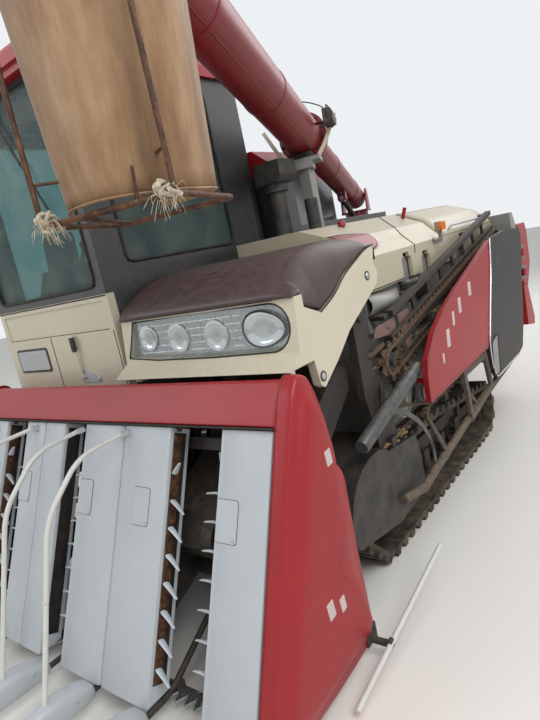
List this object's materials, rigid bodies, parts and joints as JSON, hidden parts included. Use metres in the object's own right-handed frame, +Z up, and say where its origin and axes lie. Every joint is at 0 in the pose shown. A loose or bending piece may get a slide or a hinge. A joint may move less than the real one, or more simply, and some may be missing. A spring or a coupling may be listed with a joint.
{
  "type": "combine harvester",
  "caption": "Head-feed rice combine on rubber tracks: lifting crop header, cab, open feed chain along the threshing side, grain tank and an unloading auger with a hanging chute.",
  "frame": {"origin": "bottom centre of the bounding box, on the ground between the tracks", "axes": "-Y forwards, +X to the machine's left, +Z up"},
  "size_m": [2.4043, 4.68, 2.9103],
  "materials": {
    "red_paint": "glossy, weathered",
    "cream_paint": "satin, dusty",
    "grey_paint": "satin, dusty",
    "dark_paint": "satin",
    "black_plastic": "textured",
    "brown_plastic": "dusty",
    "track_rubber": "dusty",
    "bare_steel": "worn",
    "cast_iron": "rough",
    "rusty_steel": "rusty",
    "window_glass": "clear, tinted",
    "lens_glass": "clear",
    "seat_fabric": "matt",
    "amber_lens": "glossy",
    "chain_steel": "rusty"
  },
  "bodies": {
    "chassis": {"chassis_frame": "dark_paint", "gearbox": "cast_iron", "engine_block": "cast_iron", "track_left": "track_rubber", "track_right": "track_rubber", "undercarriage_left": "dark_paint", "undercarriage_right": "dark_paint", "thresher_body": "grey_paint", "thresher_cover": "cream_paint", "feed_chain": "chain_steel", "feed_rail": "dark_paint", "side_cover_red": "red_paint", "side_cover_rear": "dark_paint", "side_guard": "dark_paint", "track_fender": "black_plastic", "grain_tank": "dark_paint", "tank_lid": "red_paint", "intake": "black_plastic", "auger_post": "grey_paint", "cab_floor": "dark_paint", "cab_front_panel": "cream_paint", "cab_frame": "dark_paint", "cab_roof": "red_paint", "cab_glass": "window_glass", "seat": "seat_fabric", "console": "black_plastic", "engine_cover": "cream_paint", "steps": "dark_paint", "mirrors": "black_plastic", "side_lamp": "amber_lens"},
    "cab_door": {"door_frame": "dark_paint", "door_glass": "window_glass"},
    "side_screen": {"screen_door": "dark_paint"},
    "cutter": {"straw_cutter": "red_paint"},
    "header": {"header_frame": "dark_paint", "header_top_bar": "red_paint", "header_sides": "red_paint", "tine_cases": "grey_paint", "tines": "bare_steel", "dividers": "grey_paint", "knife_bar": "bare_steel", "conveyor": "dark_paint", "lamp_cover": "cream_paint", "lamp_lens": "lens_glass", "header_top_cover": "brown_plastic"},
    "lift_ram_barrel": {"lift_barrel": "dark_paint"},
    "lift_ram_rod": {"lift_rod": "bare_steel"},
    "turret": {"auger_turret": "red_paint"},
    "boom": {"auger_tube": "red_paint", "auger_spout": "rusty_steel", "auger_lamp": "black_plastic"},
    "boom_ram_barrel": {"boom_barrel": "dark_paint"},
    "boom_ram_rod": {"boom_rod": "bare_steel"}
  },
  "joints": [
    {"name": "header_lift", "type": "hinge", "parent": "chassis", "child": "header", "pos_m": [0, -0.62, 1.3], "axis": [-1, 0, 0], "range_deg": [0, 20]},
    {"name": "lift_ram_swing", "type": "hinge", "parent": "chassis", "child": "lift_ram_barrel", "pos_m": [0.23, -0.6, 0.69], "axis": [-1, 0, 0], "range_deg": [0, 12]},
    {"name": "lift_ram_slide", "type": "slide", "parent": "lift_ram_barrel", "child": "lift_ram_rod", "axis": [0, -0.9445, 0.3285], "range_m": [0, 0.2]},
    {"name": "cab_door_swing", "type": "hinge", "parent": "chassis", "child": "cab_door", "pos_m": [-1.076, -0.25, 1.89], "axis": [0, 0, -1], "range_deg": [0, 80]},
    {"name": "side_screen_swing", "type": "hinge", "parent": "chassis", "child": "side_screen", "pos_m": [-1.102, 0.096, 0.865], "axis": [0, 0, -1], "range_deg": [0, 80]},
    {"name": "cutter_swing", "type": "hinge", "parent": "chassis", "child": "cutter", "pos_m": [1.046, 1.974, 1.15], "axis": [0, 0, -1], "range_deg": [0, 80]},
    {"name": "auger_swing", "type": "hinge", "parent": "chassis", "child": "turret", "pos_m": [-0.33, 1.95, 1.7], "axis": [0, 0, 1], "range_deg": [0, 240]},
    {"name": "auger_lift", "type": "hinge", "parent": "turret", "child": "boom", "pos_m": [-0.33, 1.95, 1.975], "axis": [-0.9455, -0.3256, 0], "range_deg": [0, 30]},
    {"name": "boom_ram_swing", "type": "hinge", "parent": "turret", "child": "boom_ram_barrel", "pos_m": [-0.27465, 1.78926, 1.785], "axis": [-0.9455, -0.3256, 0], "range_deg": [0, 32]},
    {"name": "boom_ram_slide", "type": "slide", "parent": "boom_ram_barrel", "child": "boom_ram_rod", "axis": [0.3049, -0.8856, 0.3503], "range_m": [0, 0.14]}
  ],
  "couplings": [
    {"joint": "lift_ram_swing", "follows": "header_lift", "ratio": 0.5356},
    {"joint": "lift_ram_slide", "follows": "header_lift", "m_per_rad": 0.5456},
    {"joint": "boom_ram_swing", "follows": "auger_lift", "ratio": 1.0442},
    {"joint": "boom_ram_slide", "follows": "auger_lift", "m_per_rad": 0.2508}
  ]
}
